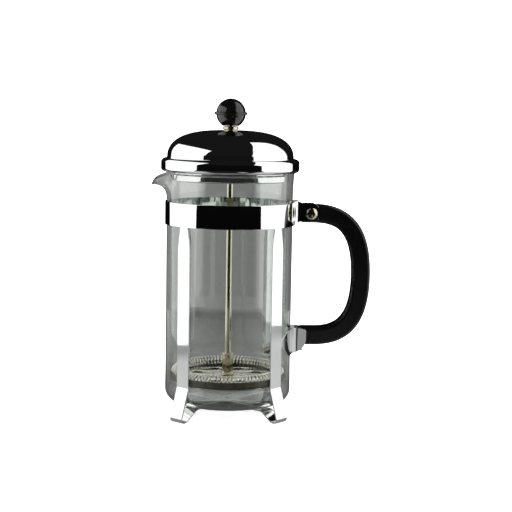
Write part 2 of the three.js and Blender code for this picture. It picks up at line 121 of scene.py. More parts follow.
def arc(radius, start, end, steps, centre=(0, 0)):
    """Points of a circular arc from one angle to another, in radians."""
    points = []
    for i in range(steps + 1):
        angle = start + (end - start) * i / steps
        points.append(Vector(centre) + radius * flat(math.cos(angle), math.sin(angle)))
    return points


def circle(radius, steps, centre=(0, 0)):
    return arc(radius, 0, TURN * (steps - 1) / steps, steps - 1, centre)


def bend(before, corner, after, radius, steps):
    """The arc that rounds a corner, coming from before and going on to after."""
    back = (before - corner).normalized()
    ahead = (after - corner).normalized()
    half = math.acos(max(-1, min(1, back.dot(ahead)))) / 2
    middle = (back + ahead).normalized()
    centre = corner + middle * (radius / math.sin(half))
    first = corner + back * (radius / math.tan(half)) - centre
    last = corner + ahead * (radius / math.tan(half)) - centre
    turn = math.atan2(first.x * last.y - first.y * last.x, first.dot(last))
    points = []
    for i in range(steps + 1):
        angle = turn * i / steps
        cos, sin = math.cos(angle), math.sin(angle)
        points.append(centre + flat(first.x * cos - first.y * sin, first.x * sin + first.y * cos))
    return points


def rounded(*corners, steps=6):
    """A line through (x, y) or (x, y, radius) corners; those with a radius are rounded."""
    spots = [flat(c[0], c[1]) for c in corners]
    line = []
    for i, corner in enumerate(corners):
        if len(corner) == 3:
            line += bend(spots[i - 1], spots[i], spots[(i + 1) % len(spots)], corner[2], steps)
        else:
            line.append(spots[i])
    return line


def rounded_box(half_width, bottom, top, radius, steps):
    """A closed box with rounded corners, as wide to the left as to the right."""
    corners = [(half_width, top), (-half_width, top), (-half_width, bottom), (half_width, bottom)]
    return rounded(*[(*corner, radius) for corner in corners], steps=steps)


def offset(line, distance):
    """Every point of an open line moved to its left by the same distance."""
    moved = []
    for i, spot in enumerate(line):
        before = line[max(i - 1, 0)]
        after = line[min(i + 1, len(line) - 1)]
        arriving = (spot - before if i > 0 else after - spot).normalized()
        leaving = (after - spot if i < len(line) - 1 else spot - before).normalized()
        along = (arriving + leaving).normalized()
        stretch = 1 / max(0.3, along.dot(arriving))
        moved.append(spot + flat(-along.y, along.x) * distance * stretch)
    return moved


def held(line, closed=False, reach=0.35):
    """The same line with two more points in each long segment, so that shading stays flat there."""
    count = len(line)
    result = []
    for i, spot in enumerate(line):
        result.append(spot)
        if i == count - 1 and not closed:
            break
        after = line[(i + 1) % count]
        length = (after - spot).length
        if length > 3 * reach:
            result.append(spot.lerp(after, reach / length))
            result.append(spot.lerp(after, 1 - reach / length))
    return result


def resampled(line, spacing):
    """The same line with points no further apart than spacing."""
    result = [line[0]]
    for before, after in zip(line, line[1:]):
        pieces = max(1, math.ceil((after - before).length / spacing))
        result += [before.lerp(after, i / pieces) for i in range(1, pieces + 1)]
    return result


def with_directions(line):
    """Each point of a line, and the direction the line takes there."""
    for i, spot in enumerate(line):
        before = line[max(i - 1, 0)]
        after = line[min(i + 1, len(line) - 1)]
        yield spot, (after - before).normalized()


def smooth_step(value, start, end):
    share = max(0.0, min(1.0, (value - start) / (end - start)))
    return share * share * (3 - 2 * share)


def mix(a, b, share):
    return a + (b - a) * share


# ---- Meshes ----


def grid(rows, wrap_rows=False, wrap_columns=True, capped=False):
    """Points and faces of a skin over rows of points. A row of one point closes the skin there."""
    points = []
    starts = []
    for row in rows:
        starts.append(len(points))
        points += row
    faces = []
    pairs = list(zip(range(len(rows)), range(1, len(rows))))
    if wrap_rows:
        pairs.append((len(rows) - 1, 0))
    for a, b in pairs:
        size_a, size_b = len(rows[a]), len(rows[b])
        size = max(size_a, size_b)
        for i in range(size if wrap_columns else size - 1):
            j = (i + 1) % size
            corner_a = [starts[a] + i, starts[a] + j] if size_a > 1 else [starts[a]]
            corner_b = [starts[b] + j, starts[b] + i] if size_b > 1 else [starts[b]]
            faces.append(corner_a + corner_b)
    if capped:
        faces.append([starts[0] + i for i in reversed(range(len(rows[0])))])
        faces.append([starts[-1] + i for i in range(len(rows[-1]))])
    return points, faces


def joined(*skins):
    """Several skins as one."""
    points, faces = [], []
    for more_points, more_faces in skins:
        shift = len(points)
        points += more_points
        faces += [[i + shift for i in face] for face in more_faces]
    return points, faces


def moved(skin, change):
    points, faces = skin
    return [change(Vector(p)) for p in points], faces


def revolve(profile, steps, closed=False, shape=None):
    """A line of (radius, height) turned about the Z axis. shape may change a radius by angle."""
    rows = []
    for spot in profile:
        if spot.x < 1e-6:
            rows.append([UP * spot.y])
            continue
        row = []
        for i in range(steps):
            angle = TURN * i / steps
            radius = shape(spot, angle) if shape else spot.x
            row.append(Vector((radius * math.cos(angle), radius * math.sin(angle), spot.y)))
        rows.append(row)
    return grid(rows, wrap_rows=closed)


def mesh_from(name, skin):
    """A mesh in metres, from points in millimetres and faces."""
    points, faces = skin
    mesh = bpy.data.meshes.new(name)
    mesh.from_pydata([Vector(p) * MM for p in points], [], faces)
    return mesh


def place(name, mesh, material, body, replaces, sharp=32):
    """Makes a mesh into a piece of the object that rides on a CAD body, in place of CAD nodes."""
    clean = bmesh.new()
    clean.from_mesh(mesh)
    bmesh.ops.remove_doubles(clean, verts=clean.verts, dist=1e-7)
    bmesh.ops.recalc_face_normals(clean, faces=clean.faces)
    clean.to_mesh(mesh)
    clean.free()
    mesh.materials.clear()
    mesh.materials.append(material)
    mesh.shade_smooth()
    mesh.set_sharp_from_angle(angle=math.radians(sharp))
    piece = bpy.data.objects.new(name, mesh)
    piece.location.x = AXIS_X
    bpy.context.scene.collection.objects.link(piece)
    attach(piece, body)
    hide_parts(*replaces)


def piece_from(name, skin, material, body, replaces, sharp=32):
    place(name, mesh_from(name, skin), material, body, replaces, sharp)


def plate_mesh(name, loops, bottom, thickness, edge):
    """A flat plate with holes: the first loop is its outline. Its edges are rounded."""
    curve = bpy.data.curves.new(name, "CURVE")
    curve.dimensions = "2D"
    curve.fill_mode = "BOTH"
    curve.extrude = (thickness / 2 - edge) * MM
    curve.bevel_depth = edge * MM
    curve.bevel_resolution = 2
    curve.offset = -edge * MM
    for loop in loops:
        spline = curve.splines.new("POLY")
        spline.points.add(len(loop) - 1)
        spline.use_cyclic_u = True
        for point, spot in zip(spline.points, loop):
            point.co = (spot.x * MM, spot.y * MM, 0, 1)
    holder = bpy.data.objects.new(name, curve)
    bpy.context.scene.collection.objects.link(holder)
    bpy.context.view_layer.update()
    graph = bpy.context.evaluated_depsgraph_get()
    mesh = bpy.data.meshes.new_from_object(holder.evaluated_get(graph))
    mesh.transform(Matrix.Translation((0, 0, (bottom + thickness / 2) * MM)))
    bpy.data.objects.remove(holder)
    bpy.data.curves.remove(curve)
    mesh.name = name
    return mesh


# ---- Materials ----


def new_material(name, **sockets):
    """A principled material with plain values on its sockets, and a handle to its nodes."""
    material = bpy.data.materials.new(name)
    material.use_nodes = True
    shader = material.node_tree.nodes["Principled BSDF"]
    for socket, value in sockets.items():
        shader.inputs[socket.replace("_", " ")].default_value = value
    return material, shader


def add(material, kind, **settings):
    """A node in a material; settings name its properties, or its inputs where no property fits."""
    node = material.node_tree.nodes.new(kind)
    for name, value in settings.items():
        if hasattr(node, name):
            setattr(node, name, value)
        else:
            node.inputs[name.replace("_", " ")].default_value = value
    return node


def link(material, source, target):
    material.node_tree.links.new(source, target)


def coordinates(material, stretch=(1, 1, 1)):
    """Places on the piece itself, in metres, stretched along each axis."""
    where = add(material, "ShaderNodeTexCoord")
    mapping = add(material, "ShaderNodeMapping", Scale=stretch)
    link(material, where.outputs["Object"], mapping.inputs["Vector"])
    return mapping.outputs["Vector"]


def axes(material):
    where = add(material, "ShaderNodeSeparateXYZ")
    link(material, coordinates(material), where.inputs["Vector"])
    return where.outputs["X"], where.outputs["Y"], where.outputs["Z"]


def noise(material, scale, detail=3.0, stretch=(1, 1, 1), roughness=0.5):
    settings = {"Scale": scale, "Detail": detail, "Roughness": roughness}
    texture = add(material, "ShaderNodeTexNoise", **settings)
    link(material, coordinates(material, stretch), texture.inputs["Vector"])
    return texture.outputs["Fac"]


def spread(material, source, low_value, high_value, start=0.0, end=1.0):
    """A value from one range mapped onto another."""
    settings = {"From Min": start, "From Max": end, "To Min": low_value, "To Max": high_value}
    node = add(material, "ShaderNodeMapRange", **settings)
    link(material, source, node.inputs["Value"])
    return node.outputs["Result"]


def math_node(material, operation, first, second=None):
    node = add(material, "ShaderNodeMath", operation=operation)
    for socket, value in zip(node.inputs, (first, second)):
        if value is None:
            continue
        if isinstance(value, (int, float)):
            socket.default_value = value
        else:
            link(material, value, socket)
    return node.outputs["Value"]


def away_from_axis(material, x, y):
    """The distance from the Z axis, in metres."""
    x_squared = math_node(material, "MULTIPLY", x, x)
    y_squared = math_node(material, "MULTIPLY", y, y)
    return math_node(material, "SQRT", math_node(material, "ADD", x_squared, y_squared))


def bump(material, shader, height, depth_mm, strength=1.0, under=None):
    node = add(material, "ShaderNodeBump", Strength=strength, Distance=depth_mm * MM)
    link(material, height, node.inputs["Height"])
    if under is not None:
        link(material, under, node.inputs["Normal"])
    link(material, node.outputs["Normal"], shader.inputs["Normal"])
    return node.outputs["Normal"]


def colour_between(material, shader, source, dark, light):
    """The base colour, mixed from two by a value from 0 to 1."""
    node = add(material, "ShaderNodeMix", data_type="RGBA")
    node.inputs["A"].default_value = (*dark, 1)
    node.inputs["B"].default_value = (*light, 1)
    link(material, source, node.inputs["Factor"])
    link(material, node.outputs["Result"], shader.inputs["Base Color"])


def polished_metal(name, dark, light, smooth, dull, ripple_mm=0.012, scratches=0.3):
    """Plated or polished metal: a mirror with faint ripples, smudges and hairline scratches."""
    material, shader = new_material(name, Metallic=1.0)
    smudges = noise(material, 55, detail=4)
    hairlines = noise(material, 160, detail=2, stretch=(1, 1, 22), roughness=0.6)
    fine = spread(material, hairlines, 0, 1, 0.64, 0.74)
    colour_between(material, shader, spread(material, smudges, 0, 1, 0.35, 0.65), dark, light)
    marks = math_node(material, "MULTIPLY", fine, scratches * (dull - smooth))
    film = spread(material, smudges, smooth, mix(smooth, dull, 0.35), 0.45, 0.75)
    link(material, math_node(material, "ADD", film, marks), shader.inputs["Roughness"])
    ripple = bump(material, shader, noise(material, 70, detail=1), ripple_mm)
    bump(material, shader, noise(material, 2600, detail=2), 0.0012, under=ripple)
    return material


def chrome():
    return polished_metal("chrome", (0.86, 0.865, 0.87), (0.93, 0.935, 0.94), 0.02, 0.12)


def warm_nickel():
    return polished_metal("warm_nickel", (0.6, 0.54, 0.38), (0.78, 0.72, 0.54), 0.1, 0.3, 0.006)


def rod_steel():
    return polished_metal("rod_steel", (0.68, 0.64, 0.5), (0.82, 0.78, 0.66), 0.06, 0.25, 0.004)


def filter_steel():
    """Bright stamped steel, duller and more worked than the chrome."""
    dark, light = (0.7, 0.69, 0.62), (0.95, 0.94, 0.88)
    return polished_metal("filter_steel", dark, light, 0.1, 0.34, 0.03, scratches=0.8)


def clear_glass():
    """Heat-proof glass: clear, with a faint grey-green body, soft drawn waves and a few smears. Its
    colour is painted darker where the wall is seen edge-on, a painted shade for its dark outline.
    """
    material, shader = new_material("beaker_glass", Transmission_Weight=1.0, IOR=1.474)
    # painted shade: the colour turns dark grey where the wall is seen edge-on
    grazing = add(material, "ShaderNodeLayerWeight", Blend=0.5).outputs["Facing"]
    edge = spread(material, grazing, 0, 1, 0.72, 0.98)
    colour_between(material, shader, edge, (0.896, 0.914, 0.896), (0.4, 0.45, 0.42))
    smears = noise(material, 40, detail=5, stretch=(1, 1, 0.5))
    link(material, spread(material, smears, 0.0, 0.045, 0.5, 0.85), shader.inputs["Roughness"])
    bump(material, shader, noise(material, 30, detail=1, stretch=(1, 1, 0.05)), 0.008)
    return material


def satin_black():
    """Moulded black plastic with a fine matt grain, rubbed a little smoother in places."""
    material, shader = new_material("satin_black", IOR=1.5, Specular_IOR_Level=0.4)
    rubbed = noise(material, 38, detail=4)
    colour_between(material, shader, rubbed, (0.0008, 0.0008, 0.0008), (0.002, 0.002, 0.002))
    link(material, spread(material, rubbed, 0.16, 0.25, 0.3, 0.7), shader.inputs["Roughness"])
    grain = bump(material, shader, noise(material, 1500, detail=3), 0.02)
    bump(material, shader, noise(material, 110, detail=1), 0.03, under=grain)
    return material


def gloss_black():
    """Moulded black plastic, buffed glossy, with faint swirls from wiping."""
    material, shader = new_material("gloss_black", IOR=1.5, Specular_IOR_Level=0.8)
    wiped = noise(material, 120, detail=4, stretch=(1, 1, 2.5))
    colour_between(material, shader, wiped, (0.001, 0.001, 0.001), (0.003, 0.003, 0.0025))
    link(material, spread(material, wiped, 0.12, 0.22, 0.35, 0.7), shader.inputs["Roughness"])
    bump(material, shader, noise(material, 900, detail=2), 0.004)
    return material


def woven_steel():
    """A fine steel weave: crossing wires, laid flat underneath and up round the side."""
    material, shader = new_material("woven_steel", Metallic=1.0)
    pitch = 0.5 * MM
    x, y, z = axes(material)
    angle = math_node(material, "ARCTAN2", y, x)
    round_way = math_node(material, "MULTIPLY", angle, FILTER_RADIUS * MM)
    away = away_from_axis(material, x, y)
    on_wall = math_node(material, "GREATER_THAN", away, (FILTER_RADIUS - 0.6) * MM)

    def chosen(wall_value, floor_value):
        pick = add(material, "ShaderNodeMix", data_type="FLOAT")
        link(material, on_wall, pick.inputs["Factor"])
        link(material, floor_value, pick.inputs["A"])
        link(material, wall_value, pick.inputs["B"])
        return pick.outputs["Result"]

    def wave(place_along):
        turns = math_node(material, "MULTIPLY", place_along, TURN / (2 * pitch))
        return math_node(material, "SINE", turns)

    across, along = wave(chosen(round_way, x)), wave(chosen(z, y))
    weave = math_node(material, "MULTIPLY", across, along)
    wires = math_node(material, "ABSOLUTE", weave)
    tarnish = noise(material, 90, detail=4)
    shade = math_node(material, "MULTIPLY", wires, spread(material, tarnish, 0.35, 1.0, 0.3, 0.7))
    colour_between(material, shader, shade, (0.07, 0.063, 0.045), (0.4, 0.37, 0.28))
    link(material, spread(material, tarnish, 0.3, 0.5), shader.inputs["Roughness"])
    bump(material, shader, weave, 0.12, strength=0.8)
    return material


# ---- Beaker ----

SPOUT_START = BAND_HIGH + 0.3
LIP_LEAN = 1.4  # how far the wall leans out below the lip
SPOUT_REACH = -low("beaker", X) - BEAKER_RADIUS - LIP_LEAN
SPOUT_DROP = 14.3
SPOUT_HALF_ANGLE = math.radians(27)
DIP_HALF_ANGLE = math.radians(50)  # the rim dips over a wider arc
BEAKER_TOP = high("beaker") - 0.2


def beaker_outline():
    """The middle of the glass wall, from the centre of the bottom to the middle of the lip."""
    half = GLASS_THICKNESS / 2
    foot_radius = 49.2
    corner = 10.0
    bottom = low("beaker")
    narrow_z = 42  # the wall draws in up to here, and is straight above
    lip_start = 171.4
    line = [flat(0.5, bottom + half), flat(20, bottom + half)]
    line += arc(corner - half, -math.pi / 2, 0, 16, (foot_radius - corner, bottom + corner))
    for i in range(1, 12):
        z = mix(bottom + corner, SPOUT_START, i / 12)
        swell = (foot_radius - BEAKER_RADIUS) * (1 - smooth_step(z, bottom + corner, narrow_z))
        line.append(flat(BEAKER_RADIUS - half + swell, z))
    steps = 30
    for i in range(steps + 1):
        z = mix(SPOUT_START, BEAKER_TOP - half, i / steps)
        lean = LIP_LEAN * max(0, (z - lip_start) / (BEAKER_TOP - lip_start)) ** 1.7
        line.append(flat(BEAKER_RADIUS - half + lean, z))
    return line


def beaker():
    half = GLASS_THICKNESS / 2
    steps = 288
    line = beaker_outline()
    middles = []
    for spot in line:
        row = [Vector((p.x, p.y, spot.y)) for p in circle(spot.x, steps)]
        middles.append([pulled_out_spout(point) for point in row])
    normals = []
    climbs = []
    for i, row in enumerate(middles):
        below, above = middles[max(i - 1, 0)], middles[min(i + 1, len(middles) - 1)]
        climb = [(above[j] - below[j]).normalized() for j in range(steps)]
        around = [row[(j + 1) % steps] - row[j - 1] for j in range(steps)]
        normals.append([around[j].cross(climb[j]).normalized() for j in range(steps)])
        climbs.append(climb)
    outer = [[p + n * half for p, n in zip(*pair)] for pair in zip(middles, normals)]
    inner = [[p - n * half for p, n in zip(*pair)] for pair in zip(middles, normals)]
    lip = []
    for i in range(1, 8):
        out, up = math.cos(math.pi * i / 8) * half, math.sin(math.pi * i / 8) * half
        lip.append([p + n * out + c * up for p, n, c in zip(middles[-1], normals[-1], climbs[-1])])
    bottom = low("beaker")
    underneath = [UP * bottom]
    inside = [UP * (bottom + 2 * half)]
    skin = grid([underneath] + outer + lip + inner[::-1] + [inside])
    piece_from("glass_beaker", skin, clear_glass(), "frame", ["beaker"], sharp=60)


def bell_share(angle, half_angle):
    """Falls from 1 in the middle of an arc to 0 at its ends."""
    return math.cos(math.pi / 2 * min(1, angle / half_angle)) ** 2


def pulled_out_spout(spot):
    """Leans the top of the wall out and down on the spout's side, most of all at the rim. The lip
    is full and has a blunt nose."""
    radius = math.hypot(spot.x, spot.y)
    angle = abs(math.atan2(spot.y, -spot.x))
    height = (spot.z - SPOUT_START) / (BEAKER_TOP - SPOUT_START)
    if radius < 1 or height <= 0:
        return spot
    across = bell_share(angle, SPOUT_HALF_ANGLE)
    dip = bell_share(angle, DIP_HALF_ANGLE)
    grown = (radius + SPOUT_REACH * across * height**2) / radius
    drop = SPOUT_DROP * (0.66 * dip + 0.34 * across**6) * height**2
    return Vector((spot.x * grown, spot.y * grown, spot.z - drop))


# ---- Chromed sheet: band, legs and lower bracket ----


def sheet_section(bottom, top):
    """The cut edge-to-edge section of a sheet: (through the thickness, across the width)."""
    line = rounded_box(SHEET / 2, bottom, top, SHEET_EDGE, 3)
    return held(line, closed=True, reach=0.12)


def sheet_strip(spine, width_at, lift, across):
    """A sheet along a flat line. width_at gives its two edges at a point of the line; lift puts a
    point of the line in space, and across is the direction of the sheet's width there."""
    rows = []
    for spot, along in with_directions(spine):
        normal = flat(along.y, -along.x)
        bottom, top = width_at(spot)
        row = []
        for through, wide in sheet_section(bottom, top):
            row.append(lift(spot + normal * through) + across * wide)
        rows.append(row)
    return grid(rows, capped=True)


def upright(spot):
    return Vector((spot.x, spot.y, 0))


def clamp_line(start_angle, end_x, corner_radius):
    """Seen from above on the camera's side: round the glass from an angle, then turned outward in
    a bend to run beside the handle. The last points crowd together at the end."""
    bend_y = -(EAR_Y + TURN_OUT_RADIUS)
    bend_x = math.sqrt((STRAP_RADIUS + TURN_OUT_RADIUS) ** 2 - bend_y**2)
    leave = math.atan2(bend_y, bend_x)
    steps = max(4, round((start_angle + leave) / math.radians(1.6)))
    wrap = arc(STRAP_RADIUS, -start_angle, leave, steps)
    turn_out = arc(TURN_OUT_RADIUS, leave + math.pi, math.pi / 2, 24, (bend_x, bend_y))
    ear = resampled([turn_out[-1], flat(end_x - corner_radius, -EAR_Y)], 0.5)[1:]
    rounding = [flat(end_x - corner_radius * (1 - math.sin(a)), -EAR_Y) for a in quarter_turn(12)]
    return wrap + turn_out[1:] + ear + rounding


def quarter_turn(steps):
    return [math.pi / 2 * i / steps for i in range(1, steps + 1)]


def mirrored(line):
    return [flat(spot.x, -spot.y) for spot in reversed(line)]


def rounded_off(x, end_x, radius):
    """How far an edge draws in near the end of an ear, for a round corner."""
    past = max(0.0, x - (end_x - radius))
    return radius - math.sqrt(max(0.0, radius**2 - past**2))


def frame_band(metal):
    ear_low = HANDLE_TOP_Z - 6.3
    ear_high = HANDLE_TOP_Z + 7.7
    ear_corner = 4.0
    bend_rise = BAND_TOP - BAND_HIGH
    rise_start, rise_end = 47.5, 50.5  # the upper edge rises a little in the bend
    low_start, low_end = 48, 55  # the lower edge goes down to the ear's
    high_start, high_end = 52.5, 57  # the upper edge goes up to the ear's

    def edges(spot):
        round_end = rounded_off(spot.x, EAR_END, ear_corner)
        raised = bend_rise * smooth_step(spot.x, rise_start, rise_end)
        bottom = mix(BAND_LOW, ear_low, smooth_step(spot.x, low_start, low_end))
        top = mix(BAND_HIGH + raised, ear_high, smooth_step(spot.x, high_start, high_end))
        return bottom + round_end, top - round_end

    front = clamp_line(math.pi, EAR_END, ear_corner)
    spine = mirrored(front) + front[1:]
    skin = sheet_strip(spine, edges, upright, UP)
    piece_from("band", skin, metal, "frame", ["frame_band"])


def leg_strap(name, node, angle, metal):
    """Two opposite legs and feet in one strap, crossing under the glass."""
    under = low("beaker") - 0.3 - SHEET / 2
    if node == "leg_strap_lower":
        under -= SHEET + 0.3
    foot_z = SHEET / 2
    knee_z = 26
    toe, heel, slope = 57.6, 51.6, 1.45
    shoulder = 130.4  # from here up the strap narrows to its neck
    half = rounded(
        (STRAP_RADIUS, BAND_LOW + 0.1),
        (STRAP_RADIUS, knee_z, 8),
        (toe, foot_z, 2.6),
        (heel, foot_z, 4),
        (heel - (under - foot_z) * slope, under, 6),
        (8, under),
        steps=10,
    )
    half = resampled(half, 3.0)
    spine = half + [flat(-spot.x, spot.y) for spot in reversed(half)]
    direction = Vector((math.cos(angle), math.sin(angle), 0))
    across = Vector((-math.sin(angle), math.cos(angle), 0))

    def edges(spot):
        rise = max(0.0, (spot.y - shoulder) / (BAND_LOW - shoulder))
        half_width = (STRAP_WIDTH - (STRAP_WIDTH - STRAP_NECK) * min(1, rise) ** 1.6) / 2
        return -half_width, half_width

    def lift(spot):
        return direction * spot.x + UP * spot.y

    skin = sheet_strip(spine, edges, lift, across)
    piece_from(name, skin, metal, "frame", [node])


def cross_rivet(metal):
    head_radius = high("cross_rivet", Y)
    shank_radius = 2.0
    bottom, top = ends("cross_rivet")
    seat = bottom + 1.5
    profile = rounded(
        (0, bottom),
        (head_radius, bottom, 1.3),
        (head_radius, seat, 0.15),
        (shank_radius, seat),
        (shank_radius, top),
        (0, top),
    )
    skin = revolve(held(profile), 48)
    piece_from("strap_rivet", skin, metal, "frame", ["cross_rivet"])


def lower_bracket(metal):
    """Two wings that leave the handle-side legs, fold beside the handle's lower end and are joined
    by a floor under it."""
    leg_edge = math.pi / 4 - (STRAP_WIDTH / 2 - 0.2) / STRAP_RADIUS
    bottom, top = ends("lower_bracket")
    neck_low, neck_high = bottom + 6.8, top - 5
    end_x = high("lower_bracket", X)
    corner_radius, upper_corner_radius = 8.0, 1.8
    widen_x, widen_length = 40, 6  # where the wings start to widen, and over what length
    lowest = bottom - 2.9
    climb_x, climb = 46, 0.25  # from here on the lower edge slopes up
    dip_x = 54  # and from here the upper edge falls by 1 mm

    def edges(spot):
        widened_low = max(0, min(1, (spot.x - widen_x - 0.5) / widen_length))
        widened_high = max(0, min(1, (spot.x - widen_x) / widen_length))
        sloping = lowest + climb * max(0, spot.x - climb_x)
        lower = mix(neck_low, sloping, widened_low) + rounded_off(spot.x, end_x, corner_radius)
        upper = mix(neck_high, top, widened_high)
        upper -= rounded_off(spot.x, end_x, upper_corner_radius)
        return lower, upper - smooth_step(spot.x, dip_x, end_x)

    front = resampled(clamp_line(leg_edge, end_x, corner_radius), 0.5)
    wings = [sheet_strip(line, edges, upright, UP) for line in (front, mirrored(front))]
    floor_z = bottom + SHEET / 2
    floor_start, floor_end = 54.8, 58.2
    floor_line = resampled([flat(-EAR_Y + 0.1, floor_z), flat(EAR_Y - 0.1, floor_z)], 1)

    def floor_edges(_):
        return floor_start, floor_end

    def across_the_gap(spot):
        return Vector((0, spot.x, spot.y))

    floor_plate = sheet_strip(floor_line, floor_edges, across_the_gap, Vector((1, 0, 0)))
    skin = joined(*wings, floor_plate)
    piece_from("handle_bracket", skin, metal, "frame", ["lower_bracket"])


# ---- Handle and its screw ----


def bezier(a, b, c, d, steps):
    points = []
    for i in range(steps + 1):
        t = i / steps
        s = 1 - t
        points.append(a * s**3 + b * 3 * s * s * t + c * 3 * s * t * t + d * t**3)
    return points


def handle_line():
    """The middle line of the handle's loop in (x, z), from its upper end to its lower end."""
    upper, lower = flat(66, HANDLE_TOP_Z), flat(68, HANDLE_BOTTOM_Z)
    outermost = flat(HANDLE_REACH - HANDLE_WIDTH / 2, 109.4)
    bulge = 0.69

    def half(start):
        along_arm = flat(mix(start.x, outermost.x, bulge), start.y)
        beside = flat(outermost.x, mix(outermost.y, start.y, bulge))
        return bezier(start, along_arm, beside, outermost, 44)

    top = [flat(HANDLE_START_X, HANDLE_TOP_Z)] + half(upper)
    bottom = [flat(HANDLE_START_X, HANDLE_BOTTOM_Z)] + half(lower)
    return top + list(reversed(bottom))[1:]


def handle():
    edge = 3.0
    end_rounding = 0.9
    outline = rounded_box(HANDLE_WIDTH / 2, -HANDLE_THICKNESS / 2, HANDLE_THICKNESS / 2, edge, 8)
    section = held(outline, closed=True, reach=0.6)
    spine = resampled(handle_line(), 2.5)
    rows = []
    for spot, along in with_directions(spine):
        normal = flat(-along.y, along.x)
        at_an_end = spot is spine[0] or spot is spine[-1]
        shrink = end_rounding if at_an_end else 0.0
        scale_wide = 1 - 2 * shrink / HANDLE_WIDTH
        scale_thick = 1 - 2 * shrink / HANDLE_THICKNESS
        row = []
        for wide, thick in section:
            flat_spot = spot + normal * wide * scale_wide
            row.append(Vector((flat_spot.x, thick * scale_thick, flat_spot.y)))
        rows.append(row)
    skin = grid(rows, capped=True)
    black = satin_black()
    piece_from("handle_loop", skin, black, "frame", ["handle"], sharp=50)


def along_y(spot):
    """Turns a place on a piece built along +Z to lie along +Y, at the screw."""
    return Vector((spot.x + SCREW_X, spot.z, -spot.y + SCREW_Z))


def clamp_screw(metal):
    """A domed head on the near ear, and a shank through the handle."""
    seat = EAR_Y + SHEET / 2 + 0.1
    radius = 4.7
    rise = -low("clamp_screw", Y) - seat
    skirt = 0.25
    shank = 2.0
    end = high("clamp_screw", Y)
    dome = []
    for angle in [0] + quarter_turn(14):
        drop = skirt + (rise - skirt) * math.cos(angle)
        dome.append(flat(radius * math.sin(angle), -seat - drop))
    profile = dome + [flat(radius, -seat), flat(shank, -seat)]
    profile += [flat(shank, end - 0.3), flat(shank - 0.3, end), flat(0, end)]
    skin = moved(revolve(held(profile), 64), along_y)
    piece_from("handle_screw", skin, metal, "frame", ["clamp_screw"])


def hex_nut(radius, hole, bottom, top):
    """A six-sided nut with its corners turned down, on the Z axis."""
    apothem = radius * math.cos(math.pi / 6)
    chamfer, hole_chamfer = 0.5, 0.3

    def shape(spot, angle):
        if spot.x <= hole + 0.5:
            return spot.x
        past_flat = (angle + math.pi / 6) % (math.pi / 3) - math.pi / 6
        return min(spot.x, apothem / math.cos(past_flat))

    profile = rounded(
        (hole, bottom + hole_chamfer),
        (hole + hole_chamfer, bottom),
        (apothem - 0.1, bottom),
        (radius, bottom + chamfer),
        (radius, top - chamfer),
        (apothem - 0.1, top),
        (hole + hole_chamfer, top),
        (hole, top - hole_chamfer),
    )
    return revolve(profile, 72, closed=True, shape=shape)


def clamp_nut(metal):
    bottom, top = ends("clamp_nut", Y)
    skin = moved(hex_nut(high("clamp_nut", X) - SCREW_X, 2.1, bottom - 0.15, top), along_y)
    piece_from("handle_nut", skin, metal, "frame", ["clamp_nut"])


# ---- Lid ----


def lid_dome(metal):
    """A round rolled rim, a groove, then a dome that is rounder than an ellipse."""
    dome_radius = 49.2
    rim_lip = 2.4
    rim_high = DOME_START + 1.7
    rim = rounded(
        (LID_RADIUS - rim_lip, LID_LOW),
        (LID_RADIUS, LID_LOW + 1.3, 2.4),
        (LID_RADIUS, rim_high, 3.4),
        (dome_radius + 0.9, rim_high, 0.45),
        (dome_radius + 0.35, DOME_START, 0.3),
        (dome_radius, DOME_START + 1.5),
        steps=10,
    )
    steps = 56
    across_power, up_power = 2 / 2.8, 2 / 2.6  # both would be 1 for an ellipse
    first_angle = 0.14
    dome = []
    for i in range(steps + 1):
        t = mix(first_angle, math.pi / 2, (i / steps) ** 1.3)  # closer together near the edge
        across = max(0.0, math.cos(t)) ** across_power
        dome.append(flat(dome_radius * across, DOME_START + DOME_RISE * math.sin(t) ** up_power))
    hole = 3.7
    dome = [spot for spot in dome if spot.x > hole + 0.2]
    dome.append(flat(hole, DOME_START + DOME_RISE))
    wall = LID_RADIUS - SHEET
    inside = rounded(
        (LID_RADIUS - rim_lip, LID_LOW + SHEET),
        (wall, LID_LOW + rim_lip + 0.6, 2.6),
        (wall, rim_high - SHEET, 2.2),
        (dome_radius + 1.2, DOME_START - 1.1, 0.5),
        (dome_radius - SHEET, DOME_START),
    )
    inside += offset([rim[-1]] + dome, SHEET)[1:]
    skin = revolve(held(rim + dome) + held(inside[::-1]), 288, closed=True)
    piece_from("lid_shell", skin, metal, "lid", ["lid_dome"])


def lid_inner_cup(metal):
    """A pan under the dome, with a rolled bead round its lower edge."""
    thickness = 0.7
    bottom = low("lid_inner_cup")
    flange = high("lid_inner_cup") - thickness
    flange_radius = high("lid_inner_cup", Y)
    wall, bead, bead_height = 45.2, 46.2, 5.8
    under = rounded(
        (flange_radius, flange),
        (wall, flange, 0.9),
        (wall, bottom + bead_height, 0.5),
        (bead, bottom + bead_height - 1, 0.6),
        (bead, bottom, 1.1),
        (BORE, bottom),
        steps=8,
    )
    upper = list(reversed(offset(under, -thickness)))
    skin = revolve(held(under) + held(upper), 240, closed=True)
    piece_from("lid_pan", skin, metal, "lid", ["lid_inner_cup"])


def lid_bushing(metal):
    """The rounded collar on the dome that guides the rod, and its sleeve."""
    bore = ROD_RADIUS + 0.06
    sleeve = 3.4
    bottom, top = ends("lid_bushing")
    seat = high("lid_dome") + 0.15
    collar = high("lid_bushing", Y)
    rounding = (top - seat) / 2 - 0.05
    profile = rounded(
        (bore, bottom, 0.2),
        (sleeve, bottom, 0.2),
        (sleeve, seat),
        (collar, seat, rounding),
        (collar, top, rounding),
        (bore, top, 0.3),
        steps=10,
    )
    skin = revolve(held(profile), 96, closed=True)
    piece_from("lid_collar", skin, metal, "lid_bushing", ["lid_bushing"])


def lid_bushing_nut(metal):
    node = "lid_bushing_nut"
    skin = hex_nut(6.0, 3.7, *ends(node))
    piece_from("lid_collar_nut", skin, metal, "lid_bushing", [node])


# ---- Plunger ----

